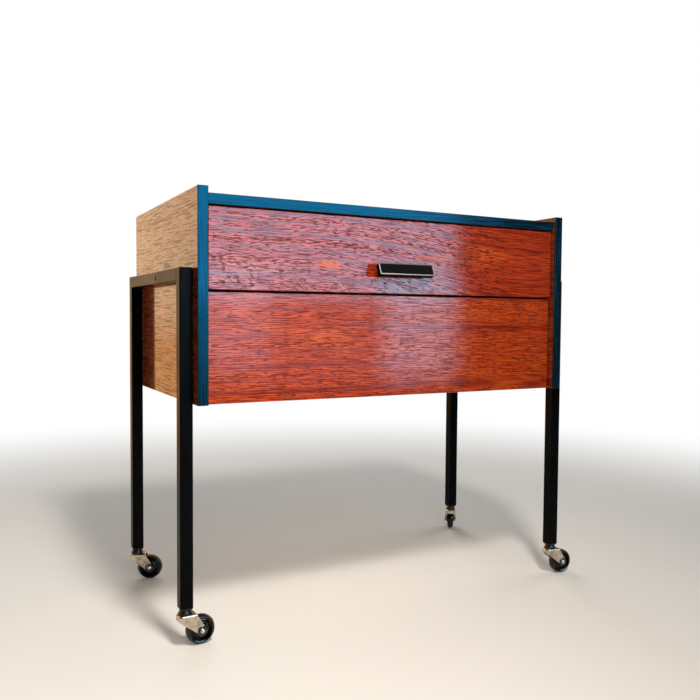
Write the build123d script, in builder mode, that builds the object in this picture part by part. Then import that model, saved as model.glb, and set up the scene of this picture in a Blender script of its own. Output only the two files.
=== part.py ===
from build123d import *
import os
from dataclasses import dataclass
from math import cos, radians, sin, tan

# A sewing cabinet on castors: a wooden case with two drawers, hung between two steel leg frames.
# Millimetres. X points right, Y to the back, Z up. The origin is on the floor under the case's middle.

os.makedirs("parts", exist_ok=True)

# Case
case_width = 600.0
case_depth = 350.0
side_height = 275.0
board_thickness = 14.0
top_drop = 7.5  # the top board lies this far below the sides' upper edges
top_setback = 6.0  # the top board's front edge behind the sides' front edges
bottom_thickness = 8.0
bottom_lift = 6.0  # underside of the bottom panel above the sides' lower edges
back_thickness = 5.0
back_rebate = 7.0  # the back panel's reach into each side
housing_depth = 5.0  # tongues of the top and bottom in the sides
tongue_thickness = 7.0
tongue_setback = 12.0  # the top's tongues stop short of its front edge
band_thickness = 2.0  # lacquered edge bands
edge_round = 0.8

# Drawer fronts
front_thickness = 16.0
front_gap = 2.0  # shadow gap at the ends and over the upper front
between_gap = 2.5
upper_front_height = 105.0
upper_setback = 8.0  # behind the sides' front edges
lower_setback = 12.0
finger_gap = 30.0  # clear depth behind the lower front's lower edge

# Drawer boxes
box_lift = 8.0  # the upper box's lower edge above its front's lower edge
box_clearance = 4.0  # the lower box's lower edge above the bottom panel
box_drop = 12.0  # box sides end below the front's upper edge
rear_clearance = 8.0  # box to back panel
drawer_side = 12.0
drawer_back = 10.0
drawer_floor = 4.0
tail_length = 8.0  # dovetails of the sides in the front
tail_pitch = 28.0  # about one tail to this height
tail_angle = 9.0  # degrees
least_tail_count = 2
pin_width = 8.0  # wood left in the front between the tails' wide ends
floor_rise = 8.0
floor_groove = 5.0
back_housing = 3.0
back_setback = 6.0
back_lowered = 4.0
divider_thickness = 6.0
divider_drop = 18.0  # dividers end below the box's upper edge
front_row_depth = 110.0  # small compartments behind the upper front
cross_divider_count = 3

# Drawer runners
runner_height = 14.0
runner_drop = 30.0  # runner's middle below the box's upper edge
runner_housing = 3.0
groove_depth = 6.0
groove_end_play = 0.5
runner_play = 0.3
runner_lead = 3.0  # bevel of the runners' front ends
groove_stop = 15.0  # the groove's blind end behind the front
stop_gap = 0.4

# Handle
handle_length = 90.0
handle_height = 17.5
handle_thickness = 8.0  # with the trim
handle_tilt = 23.0  # degrees; the lower edge stands further out
handle_reach = 18.2  # middle of the trim's face to the drawer front
handle_lift = 34.5  # middle of the handle above the upper front's lower edge
handle_corner = 1.0
trim_width = 1.4  # bright edging round the bar's face
trim_thickness = 1.0
trim_lip = 0.3  # the trim stands proud of the bar's face
post_spacing = 60.0
post_diameter = 9.0
handle_screw_diameter = 4.0
handle_screw_depth = 7.0  # into the post
handle_head_diameter = 8.0
handle_head_height = 2.4
handle_head_round = 0.8
screw_clearance = 0.1

# Leg frames
tube = 17.0
tube_wall = 1.5
tube_round = 1.5
leg_top_round = 0.75
leg_length = 438.5
frame_depth = 300.0
frame_setback = 17.0  # front legs behind the sides' front edges
frame_gap = 1.2  # frames stand off the sides on thin washers
frame_drop = 101.0  # the frames' upper edge below the sides' upper edges
plug_flange = 2.5
plug_length = 26.0
plug_taper = 1.5
frame_screw_spacing = 176.0
frame_screw_diameter = 5.0
frame_head_diameter = 10.0
frame_head_angle = 90.0  # degrees, the countersunk heads' full cone
frame_screw_reach = 4.0  # past the bar's inner wall
spacer_diameter = 14.0

# Castors
wheel_diameter = 39.0
wheel_width = 11.0
wheel_hub_diameter = 15.0
wheel_dish = 1.6  # the web's face inside the rim's face
rim_width = 2.0
rim_step = 0.9  # the rim's face inside the tyre's face
tyre_depth = 5.0
tread_drop = 2.2  # the tyre's shoulders below its crown
shoulder_round = 1.2
castor_rise = 10.0  # leg end above the wheel's top
castor_trail = 20.0
fork_inside = 15.0
fork_sheet = 2.0
fork_rise = 3.8  # top of the fork above the wheel
fork_back = 11.3  # behind the swivel axis
fork_nose = 12.5  # ahead of the swivel axis, over the wheel
fork_cheek = 6.5
fork_corner = 8.0
fork_bend = 2.5
fork_eye = 5.5
axle_diameter = 5.0
axle_head_diameter = 6.4
axle_head_height = 1.6
axle_head_radius = 3.8  # of the rivet heads' domes
cap_diameter = 13.0
cap_thickness = 1.2
cap_bevel = 0.6
hub_play = 0.3
running_clearance = 0.05
stem_diameter = 8.0
stem_engagement = 20.0
stem_foot_diameter = 11.0
stem_foot_height = 1.4
cup_diameter = 18.0  # bearing cup on the fork
cup_height = 2.0
collar_diameter = 14.0
collar_gap = 0.3
swivel_angles = {"front_left": 3.0, "rear_left": -20.0, "front_right": -7.0, "rear_right": 56.0}

# Places that follow from the sizes
front_edge = -case_depth / 2
rear_edge = case_depth / 2
inner_half = case_width / 2 - board_thickness
front_half = inner_half - front_gap
inside_half = front_half - drawer_side
leg_bottom = wheel_diameter + castor_rise
frame_top = leg_bottom + leg_length
case_top = frame_top + frame_drop
case_bottom = case_top - side_height
top_face = case_top - top_drop
top_underside = top_face - board_thickness
top_front = front_edge + top_setback
tongue_low = (top_face + top_underside - tongue_thickness) / 2
back_face = rear_edge - back_thickness
bottom_underside = case_bottom + bottom_lift
bottom_face = bottom_underside + bottom_thickness
upper_front_top = top_underside - front_gap
upper_front_bottom = upper_front_top - upper_front_height
runner_reach = front_gap + groove_depth - groove_end_play


@dataclass(frozen=True)
class Drawer:
    """A drawer's place in the case; its boards, its runners and their housings all read it."""

    name: str
    setback: float
    bottom: float
    top: float
    box_bottom: float

    @property
    def face(self) -> float:
        """Y of the front's outer face."""
        return front_edge + self.setback

    @property
    def inside(self) -> float:
        """Y of the front's inner face."""
        return self.face + front_thickness

    @property
    def box_rear(self) -> float:
        """Y of the box's rear end."""
        return back_face - rear_clearance

    @property
    def box_top(self) -> float:
        """Z of the box sides' upper edges."""
        return self.top - box_drop

    @property
    def tail_count(self) -> int:
        """Number of dovetails on each side."""
        return max(least_tail_count, round((self.box_top - self.box_bottom) / tail_pitch))

    @property
    def tail_spacing(self) -> float:
        """Distance between neighbouring dovetails."""
        return (self.box_top - self.box_bottom) / self.tail_count

    @property
    def floor_low(self) -> float:
        """Z of the floor's underside."""
        return self.box_bottom + floor_rise

    @property
    def floor_top(self) -> float:
        """Z of the floor's upper face."""
        return self.floor_low + drawer_floor

    @property
    def runner_z(self) -> float:
        """Z of the runners' middle."""
        return self.box_top - runner_drop

    @property
    def groove_front(self) -> float:
        """Y of the blind end of the runner grooves."""
        return self.inside + groove_stop

    @property
    def runner_span(self) -> tuple:
        """Y limits of the runners, from the groove's blind end to the back panel."""
        return self.groove_front + stop_gap, back_face


upper = Drawer(
    "upper", upper_setback, upper_front_bottom, upper_front_top, upper_front_bottom + box_lift
)
lower = Drawer(
    "lower", lower_setback, case_bottom, upper_front_bottom - between_gap, bottom_face + box_clearance
)


def board(x, y, z, mode=Mode.ADD):
    """Add or cut a flat board between two limits on each axis."""
    middle = ((x[0] + x[1]) / 2, (y[0] + y[1]) / 2, (z[0] + z[1]) / 2)
    with Locations(middle):
        Box(x[1] - x[0], y[1] - y[0], z[1] - z[0], mode=mode)


def about(middle, size):
    """Limits of a given size about a middle."""
    return middle - size / 2, middle + size / 2


def mirrored(piece):
    """The right-hand twin of a left-hand piece."""
    with BuildPart() as twin:
        mirror(piece.part, about=Plane.YZ)
    return twin


def write(piece, name):
    """Label a finished piece and write it under its node's name."""
    piece.part.label = name
    export_step(piece.part, f"parts/{name}.step")


# Leg frame places, shared by the case's screw holes
leg_x = case_width / 2 + frame_gap + tube / 2
front_leg_y = front_edge + frame_setback + tube / 2
rear_leg_y = front_leg_y + frame_depth - tube
bar_z = frame_top - tube / 2
tube_bore = tube - 2 * tube_wall
tube_end = leg_bottom + plug_flange
screw_ys = about((front_leg_y + rear_leg_y) / 2, frame_screw_spacing)
inner_face = Plane((-inner_half, 0, bar_z), x_dir=(0, 1, 0), z_dir=(1, 0, 0))
screw_spots = [(y, 0) for y in screw_ys]
countersink = (frame_head_diameter - frame_screw_diameter) / 2 / tan(radians(frame_head_angle / 2))

# Sides of the case
with BuildPart() as left_side:
    board(
        (-case_width / 2, -inner_half),
        (front_edge + band_thickness, rear_edge),
        (case_bottom, case_top),
    )
    long_edges = left_side.edges().filter_by(Axis.Y)
    rear_outer_edge = left_side.edges().filter_by(Axis.Z).sort_by(Axis.Y)[-2:].sort_by(Axis.X)[0]
    fillet(long_edges + [rear_outer_edge], edge_round)
    board(
        (-inner_half - back_rebate, -inner_half),
        (back_face, rear_edge),
        (bottom_underside, top_face),
        Mode.SUBTRACT,
    )
    board(
        (-inner_half - housing_depth, -inner_half),
        (top_front + tongue_setback, back_face),
        (tongue_low, tongue_low + tongue_thickness),
        Mode.SUBTRACT,
    )
    board(
        (-inner_half - housing_depth, -inner_half),
        (lower.inside + finger_gap, back_face),
        (bottom_underside, bottom_face),
        Mode.SUBTRACT,
    )
    for drawer in (upper, lower):
        board(
            (-inner_half - runner_housing, -inner_half),
            drawer.runner_span,
            about(drawer.runner_z, runner_height),
            Mode.SUBTRACT,
        )
    with Locations(inner_face):
        with Locations(*screw_spots):
            CounterSinkHole(
                frame_screw_diameter / 2 + screw_clearance,
                frame_head_diameter / 2 + screw_clearance,
                board_thickness,
                frame_head_angle,
            )
write(left_side, "left_side_panel")
write(mirrored(left_side), "right_side_panel")

with BuildPart() as left_band:
    board(
        (-case_width / 2, -inner_half),
        (front_edge, front_edge + band_thickness),
        (case_bottom, case_top),
    )
    glued_edges = left_band.faces().sort_by(Axis.Y)[-1].edges()
    fillet(left_band.edges() - glued_edges, edge_round)
write(left_band, "left_edge_band")
write(mirrored(left_band), "right_edge_band")

# Top, bottom and back
with BuildPart() as top_panel:
    board(
        (-inner_half, inner_half),
        (top_front + band_thickness, back_face),
        (top_underside, top_face),
    )
    board(
        (-inner_half - housing_depth, inner_half + housing_depth),
        (top_front + tongue_setback, back_face),
        (tongue_low, tongue_low + tongue_thickness),
    )
write(top_panel, "top_panel")

with BuildPart() as top_band:
    board(
        (-inner_half, inner_half),
        (top_front, top_front + band_thickness),
        (top_underside, top_face),
    )
    fillet(top_band.faces().sort_by(Axis.Y)[0].edges().filter_by(Axis.X), edge_round)
write(top_band, "top_edge_band")

with BuildPart() as bottom_panel:
    board(
        (-inner_half - housing_depth, inner_half + housing_depth),
        (lower.inside + finger_gap, back_face),
        (bottom_underside, bottom_face),
    )
write(bottom_panel, "bottom_panel")

with BuildPart() as back_panel:
    board(
        (-inner_half - back_rebate, inner_half + back_rebate),
        (back_face, rear_edge),
        (bottom_underside, top_face),
    )
write(back_panel, "back_panel")

# Runners, let into the sides
for drawer in (upper, lower):
    with BuildPart() as runner:
        board(
            (-inner_half - runner_housing, -inner_half + runner_reach),
            drawer.runner_span,
            about(drawer.runner_z, runner_height),
        )
        lead_in = runner.faces().sort_by(Axis.X)[-1].edges().sort_by(Axis.Y)[0]
        chamfer(lead_in, runner_lead)
    write(runner, f"{drawer.name}_left_runner")
    write(mirrored(runner), f"{drawer.name}_right_runner")

# Handle, a tilted bar with a trim round its face, on two posts
handle_z = upper.bottom + handle_lift
handle_plane = Plane(
    (0, upper.face - handle_reach, handle_z),
    x_dir=(1, 0, 0),
    z_dir=(0, -cos(radians(handle_tilt)), sin(radians(handle_tilt))),
)
upper_face_plane = Plane((0, upper.face, handle_z), x_dir=(1, 0, 0), z_dir=(0, -1, 0))
upper_inner_plane = Plane((0, upper.inside, handle_z), x_dir=(1, 0, 0), z_dir=(0, 1, 0))
handle_screw_hole = handle_screw_diameter / 2 + screw_clearance

trim_seat = handle_plane.offset(-trim_thickness)
face_length = handle_length - 2 * trim_width
face_height = handle_height - 2 * trim_width

with BuildPart() as handle_bar:
    with BuildSketch(trim_seat):
        RectangleRounded(handle_length, handle_height, handle_corner)
    extrude(amount=trim_thickness - handle_thickness)
    with BuildSketch(trim_seat):
        Rectangle(face_length, face_height)
    extrude(amount=trim_thickness - trim_lip)
write(handle_bar, "handle_bar")

with BuildPart() as handle_trim:
    with BuildSketch(trim_seat):
        RectangleRounded(handle_length, handle_height, handle_corner)
        Rectangle(face_length, face_height, mode=Mode.SUBTRACT)
    extrude(amount=trim_thickness)
write(handle_trim, "handle_trim")

with BuildPart() as handle_posts:
    with BuildSketch(upper_face_plane):
        with GridLocations(post_spacing, 0, 2, 1):
            Circle(post_diameter / 2)
    extrude(amount=handle_reach)
    split(bisect_by=handle_plane.offset(-handle_thickness), keep=Keep.BOTTOM)
    with BuildSketch(upper_face_plane):
        with GridLocations(post_spacing, 0, 2, 1):
            Circle(handle_screw_hole)
    extrude(amount=handle_screw_depth + screw_clearance, mode=Mode.SUBTRACT)
write(handle_posts, "handle_posts")

with BuildPart() as handle_screws:
    with BuildSketch(upper_inner_plane):
        with GridLocations(post_spacing, 0, 2, 1):
            Circle(handle_head_diameter / 2)
    extrude(amount=handle_head_height)
    fillet(handle_screws.faces().sort_by(Axis.Y)[-2:].edges(), handle_head_round)
    with BuildSketch(upper_inner_plane):
        with GridLocations(post_spacing, 0, 2, 1):
            Circle(handle_screw_diameter / 2)
    extrude(amount=-front_thickness - handle_screw_depth)
write(handle_screws, "handle_screws")

# Drawers
for drawer in (upper, lower):
    floor_half = inside_half + floor_groove
    floor_span = (drawer.inside - floor_groove, drawer.box_rear)
    floor_level = (drawer.floor_low, drawer.floor_top)
    box_span = (drawer.inside, drawer.box_rear)
    box_level = (drawer.box_bottom, drawer.box_top)
    back_span = (drawer.box_rear - back_setback - drawer_back, drawer.box_rear - back_setback)
    back_level = (drawer.floor_top, drawer.box_top - back_lowered)
    back_half = inside_half + back_housing
    box_middle = (drawer.box_bottom + drawer.box_top) / 2

    with BuildPart() as side:
        board((-front_half, -inside_half), box_span, box_level)
        fillet(side.faces().sort_by(Axis.Z)[-1].edges().filter_by(Axis.Y), edge_round)
        with BuildSketch(Plane.YZ.offset(-front_half)):
            with Locations((drawer.inside - tail_length / 2, box_middle)):
                with GridLocations(0, drawer.tail_spacing, 1, drawer.tail_count):
                    Trapezoid(
                        drawer.tail_spacing - pin_width,
                        tail_length,
                        90 - tail_angle,
                        rotation=-90,
                    )
        extrude(amount=drawer_side)
        board(
            (-front_half, -front_half + groove_depth),
            (drawer.groove_front, drawer.box_rear),
            about(drawer.runner_z, runner_height + 2 * runner_play),
            Mode.SUBTRACT,
        )
        board((-floor_half, -inside_half), floor_span, floor_level, Mode.SUBTRACT)
        board((-back_half, -inside_half), back_span, back_level, Mode.SUBTRACT)
    other_side = mirrored(side)
    write(side, f"{drawer.name}_drawer_left_side")
    write(other_side, f"{drawer.name}_drawer_right_side")

    with BuildPart() as front:
        board((-front_half, front_half), (drawer.face, drawer.inside), (drawer.bottom, drawer.top))
        fillet(front.faces().sort_by(Axis.Y)[0].edges(), edge_round)
        add(side.part, mode=Mode.SUBTRACT)
        add(other_side.part, mode=Mode.SUBTRACT)
        board(
            (-floor_half, floor_half),
            (drawer.inside - floor_groove, drawer.inside),
            floor_level,
            Mode.SUBTRACT,
        )
        if drawer is upper:
            with BuildSketch(upper_face_plane):
                with GridLocations(post_spacing, 0, 2, 1):
                    Circle(handle_screw_hole)
            extrude(amount=-front_thickness, mode=Mode.SUBTRACT)
    write(front, f"{drawer.name}_drawer_front")

    with BuildPart() as back:
        board((-back_half, back_half), back_span, back_level)
    write(back, f"{drawer.name}_drawer_back")

    with BuildPart() as floor:
        board((-floor_half, floor_half), floor_span, floor_level)
    write(floor, f"{drawer.name}_drawer_floor")

# Compartments of the upper drawer
divider_level = (upper.floor_top, upper.box_top - divider_drop)
row_rear = upper.inside + front_row_depth
compartment_pitch = 2 * inside_half / (cross_divider_count + 1)

with BuildPart() as long_divider:
    board((-inside_half, inside_half), (row_rear, row_rear + divider_thickness), divider_level)
write(long_divider, "upper_drawer_long_divider")

with BuildPart() as cross_dividers:
    for index in range(cross_divider_count):
        divider_x = -inside_half + (index + 1) * compartment_pitch
        board(about(divider_x, divider_thickness), (upper.inside, row_rear), divider_level)
write(cross_dividers, "upper_drawer_cross_dividers")

# Leg frames
for place, leg_y in (("front", front_leg_y), ("rear", rear_leg_y)):
    with BuildPart() as leg:
        with BuildSketch(Plane.XY.offset(tube_end)):
            with Locations((-leg_x, leg_y)):
                RectangleRounded(tube, tube, tube_round)
        extrude(amount=frame_top - tube_end)
        fillet(leg.faces().sort_by(Axis.Z)[-1].edges(), leg_top_round)
        with BuildSketch(Plane.XY.offset(tube_end)):
            with Locations((-leg_x, leg_y)):
                Rectangle(tube_bore, tube_bore)
        extrude(amount=frame_top - tube_end - tube_wall, mode=Mode.SUBTRACT)
    write(leg, f"left_{place}_leg")
    write(mirrored(leg), f"right_{place}_leg")

bar_section = Plane((-leg_x, front_leg_y + tube / 2, bar_z), x_dir=(1, 0, 0), z_dir=(0, 1, 0))
outer_face = Plane((-case_width / 2, 0, bar_z), x_dir=(0, 1, 0), z_dir=(-1, 0, 0))
bar_face = outer_face.offset(frame_gap)

with BuildPart() as bar:
    with BuildSketch(bar_section):
        RectangleRounded(tube, tube, tube_round)
        Rectangle(tube_bore, tube_bore, mode=Mode.SUBTRACT)
    extrude(amount=frame_depth - 2 * tube)
    with BuildSketch(bar_face):
        with Locations(*screw_spots):
            Circle(frame_screw_diameter / 2 + screw_clearance)
    extrude(amount=tube_wall, mode=Mode.SUBTRACT)
write(bar, "left_frame_bar")
write(mirrored(bar), "right_frame_bar")

with BuildPart() as frame_spacers:
    with BuildSketch(outer_face):
        with Locations(*screw_spots):
            Circle(spacer_diameter / 2)
            Circle(frame_screw_diameter / 2 + screw_clearance, mode=Mode.SUBTRACT)
    extrude(amount=frame_gap)
    mirror(about=Plane.YZ)
write(frame_spacers, "frame_spacers")

with BuildPart() as frame_screws:
    screw_length = board_thickness + frame_gap + tube_wall + frame_screw_reach
    with BuildSketch(inner_face):
        with Locations(*screw_spots):
            Circle(frame_screw_diameter / 2)
    extrude(amount=-screw_length)
    with BuildSketch(inner_face):
        with Locations(*screw_spots):
            Circle(frame_head_diameter / 2)
    extrude(amount=-countersink, taper=frame_head_angle / 2)
    mirror(about=Plane.YZ)
write(frame_screws, "frame_screws")

# Plugs in the leg ends, bored for the castor stems
leg_spots = {
    "front_left": (-leg_x, front_leg_y),
    "rear_left": (-leg_x, rear_leg_y),
    "front_right": (leg_x, front_leg_y),
    "rear_right": (leg_x, rear_leg_y),
}
with BuildPart() as plug:
    with BuildSketch(Plane.XY.offset(leg_bottom)):
        RectangleRounded(tube - 2 * plug_taper, tube - 2 * plug_taper, tube_round)
    with BuildSketch(Plane.XY.offset(tube_end)):
        RectangleRounded(tube, tube, tube_round)
    loft()
    with BuildSketch(Plane.XY.offset(tube_end)):
        Rectangle(tube_bore, tube_bore)
    extrude(amount=plug_length - plug_flange)
    with BuildSketch(Plane.XY.offset(leg_bottom)):
        Circle(stem_diameter / 2 + running_clearance)
    extrude(amount=stem_engagement + collar_gap, mode=Mode.SUBTRACT)

with BuildPart() as leg_plugs:
    with Locations(*[(x, y, 0) for x, y in leg_spots.values()]):
        add(plug.part)
write(leg_plugs, "leg_plugs")

# One castor, about its swivel axis, with the wheel trailing along +X
wheel_radius = wheel_diameter / 2
fork_top = wheel_diameter + fork_rise
fork_under = fork_top - fork_sheet
fork_half = fork_inside / 2 + fork_sheet
axle_plane = Plane((castor_trail, 0, wheel_radius), x_dir=(1, 0, 0), z_dir=(0, 0, 1))
axle_axis = Axis((castor_trail, 0, wheel_radius), (0, 1, 0))
fork_side = Plane((0, 0, 0), x_dir=(1, 0, 0), z_dir=(0, -1, 0))
cheek_side = fork_side.offset(fork_half)

with BuildPart() as fork:
    with BuildSketch(fork_side):
        with BuildLine():
            Polyline(
                (fork_nose, fork_top),
                (-fork_back, fork_top),
                (-fork_back, fork_top - fork_cheek),
            )
            CenterArc((castor_trail, wheel_radius), fork_eye, 0, 360)
        make_hull()
    extrude(amount=fork_half, both=True)
    head_corners = fork.edges().filter_by(Axis.Z).sort_by(Axis.X)[:2]
    fillet(head_corners, fork_corner)
    head_outline = fork.faces().sort_by(Axis.Z)[-1].edges().sort_by(Axis.X)[:-1]
    fillet(head_outline, fork_bend)
    with BuildSketch(Plane.XY.offset(fork_under)):
        with BuildLine():
            inner_back = fork_sheet - fork_back
            inner_half_width = fork_inside / 2
            outlet = castor_trail + wheel_diameter
            channel = Polyline(
                (outlet, inner_half_width),
                (inner_back, inner_half_width),
                (inner_back, -inner_half_width),
                (outlet, -inner_half_width),
                close=True,
            )
            fillet(channel.vertices().sort_by(Axis.X)[:2], fork_corner - fork_sheet)
        make_face()
    extrude(amount=-fork_under, mode=Mode.SUBTRACT)
    with BuildSketch(fork_side):
        with Locations((castor_trail, wheel_radius)):
            Circle(axle_diameter / 2 + running_clearance)
    extrude(amount=fork_half, both=True, mode=Mode.SUBTRACT)
    with BuildSketch(Plane.XY.offset(fork_top)):
        Circle(stem_diameter / 2 + running_clearance)
    extrude(amount=-fork_sheet, mode=Mode.SUBTRACT)

with BuildPart() as stem:
    collar_top = leg_bottom - collar_gap
    stem_top = leg_bottom + stem_engagement
    stem_foot = fork_under - stem_foot_height
    with BuildSketch(Plane.XZ):
        with BuildLine():
            Polyline(
                (0, stem_foot),
                (stem_foot_diameter / 2, stem_foot),
                (stem_foot_diameter / 2, fork_under),
                (stem_diameter / 2, fork_under),
                (stem_diameter / 2, fork_top),
                (cup_diameter / 2, fork_top),
                (cup_diameter / 2, fork_top + cup_height),
                (collar_diameter / 2, collar_top),
                (stem_diameter / 2, collar_top),
                (stem_diameter / 2, stem_top),
                (0, stem_top),
                close=True,
            )
        make_face()
    revolve(axis=Axis.Z)

with BuildPart() as axle:
    head_base = fork_half + cap_thickness
    head_top = head_base + axle_head_height
    with BuildSketch(axle_plane):
        with BuildLine():
            Polyline(
                (0, head_top),
                (0, -head_top),
            )
            for end in (-1, 1):
                RadiusArc(
                    (0, end * head_top),
                    (axle_head_diameter / 2, end * head_base),
                    end * axle_head_radius,
                )
                Line((axle_head_diameter / 2, end * head_base), (axle_diameter / 2, end * head_base))
            Line((axle_diameter / 2, head_base), (axle_diameter / 2, -head_base))
        make_face()
    revolve(axis=axle_axis)

with BuildPart() as caps:
    with BuildSketch(cheek_side):
        with Locations((castor_trail, wheel_radius)):
            Circle(cap_diameter / 2)
            Circle(axle_diameter / 2 + running_clearance, mode=Mode.SUBTRACT)
    extrude(amount=cap_thickness)
    chamfer(caps.faces().sort_by(Axis.Y)[0].edges().sort_by(SortBy.LENGTH)[-1], cap_bevel)
    mirror(about=Plane.XZ)

with BuildPart() as wheel:
    bore = axle_diameter / 2 + running_clearance
    hub = wheel_hub_diameter / 2
    hub_end = fork_inside / 2 - hub_play
    tyre_face = wheel_width / 2
    rim_face = tyre_face - rim_step
    web = rim_face - wheel_dish
    shoulder = wheel_radius - tread_drop
    rim_outer = wheel_radius - tyre_depth
    rim_inner = rim_outer - rim_width
    with BuildSketch(axle_plane) as wheel_section:
        with BuildLine():
            half = Polyline(
                (bore, 0),
                (bore, hub_end),
                (hub, hub_end),
                (hub, web),
                (rim_inner - wheel_dish, web),
                (rim_inner, rim_face),
                (rim_outer, rim_face),
                (rim_outer, tyre_face),
                (shoulder, tyre_face),
            )
            mirror(half, about=Plane.XZ.shift_origin((0, 0, wheel_radius)))
            ThreePointArc((shoulder, tyre_face), (wheel_radius, 0), (shoulder, -tyre_face))
        make_face()
        fillet(wheel_section.vertices().sort_by(Axis.X)[-2:], shoulder_round)
    revolve(axis=axle_axis)

for corner, (leg_place_x, leg_place_y) in leg_spots.items():
    spot = Location((leg_place_x, leg_place_y, 0), (0, 0, swivel_angles[corner]))
    castor_pieces = {"fork": fork, "stem": stem, "axle": axle, "caps": caps, "wheel": wheel}
    for piece_name, piece in castor_pieces.items():
        with BuildPart() as placed:
            with Locations(spot):
                add(piece.part)
        write(placed, f"{corner}_castor_{piece_name}")
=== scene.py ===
"""Looks of a two-drawer sewing cabinet on castors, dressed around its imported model."""

import logging
import math
from contextlib import contextmanager
from dataclasses import dataclass
from enum import Enum
from typing import ClassVar, Iterator, Sequence, Union

import bpy
from mathutils import Matrix, Vector


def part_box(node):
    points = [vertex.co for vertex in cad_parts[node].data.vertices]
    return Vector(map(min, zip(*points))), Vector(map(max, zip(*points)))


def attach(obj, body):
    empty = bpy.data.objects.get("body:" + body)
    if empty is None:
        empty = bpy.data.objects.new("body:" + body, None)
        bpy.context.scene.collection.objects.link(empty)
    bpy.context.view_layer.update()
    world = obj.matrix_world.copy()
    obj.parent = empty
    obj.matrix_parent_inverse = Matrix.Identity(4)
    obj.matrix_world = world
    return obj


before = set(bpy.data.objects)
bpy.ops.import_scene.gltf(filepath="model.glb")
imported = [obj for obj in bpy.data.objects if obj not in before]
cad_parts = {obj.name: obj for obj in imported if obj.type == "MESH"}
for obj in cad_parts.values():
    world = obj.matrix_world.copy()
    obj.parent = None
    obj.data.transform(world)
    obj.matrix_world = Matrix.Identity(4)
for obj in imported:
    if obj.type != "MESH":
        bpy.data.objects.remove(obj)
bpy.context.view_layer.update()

log = logging.getLogger("sewing_cabinet")
MM = 0.001
Piece = bpy.types.Object
Material = bpy.types.Material
Node = bpy.types.Node
Socket = bpy.types.NodeSocket
Collection = bpy.types.bpy_prop_collection
Point = tuple[float, float, float]
Colour = tuple[float, float, float]
Span = tuple[float, float]
Feed = Union["Value", Socket, float, Sequence[float]]
Number = Union["Value", float]
Place = tuple["Value", "Value", "Value"]
WHITE: Colour = (1.0, 1.0, 1.0)


def paint(red: int, green: int, blue: int) -> Colour:
    """Turn a colour as it shows on screen into the linear one that shaders take.

    Args:
        red, green, blue: the colour's parts, from 0 to 255.

    Returns:
        The linear colour, each part from 0 to 1.
    """
    # A screen's curve is straight near black and a power above it.
    parts = [part / 255 for part in (red, green, blue)]
    return tuple(p / 12.92 if p <= 0.04045 else ((p + 0.055) / 1.055) ** 2.4 for p in parts)


class Value:
    """A number that runs through a node tree; sums on it add Math nodes."""

    def __init__(self, graph: "Graph", socket: Socket) -> None:
        """Wrap one output socket of a graph's node."""
        self.graph = graph
        self.socket = socket

    def __add__(self, other: Number) -> "Value":
        """Add."""
        return self.graph.math("ADD", self, other)

    def __sub__(self, other: Number) -> "Value":
        """Take away."""
        return self.graph.math("SUBTRACT", self, other)

    def __rsub__(self, other: Number) -> "Value":
        """Take this value away from a number."""
        return self.graph.math("SUBTRACT", other, self)

    def __mul__(self, other: Number) -> "Value":
        """Multiply."""
        return self.graph.math("MULTIPLY", self, other)

    def __truediv__(self, other: Number) -> "Value":
        """Divide."""
        return self.graph.math("DIVIDE", self, other)

    def __rtruediv__(self, other: Number) -> "Value":
        """Divide a number by this value."""
        return self.graph.math("DIVIDE", other, self)

    __radd__ = __add__
    __rmul__ = __mul__


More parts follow.
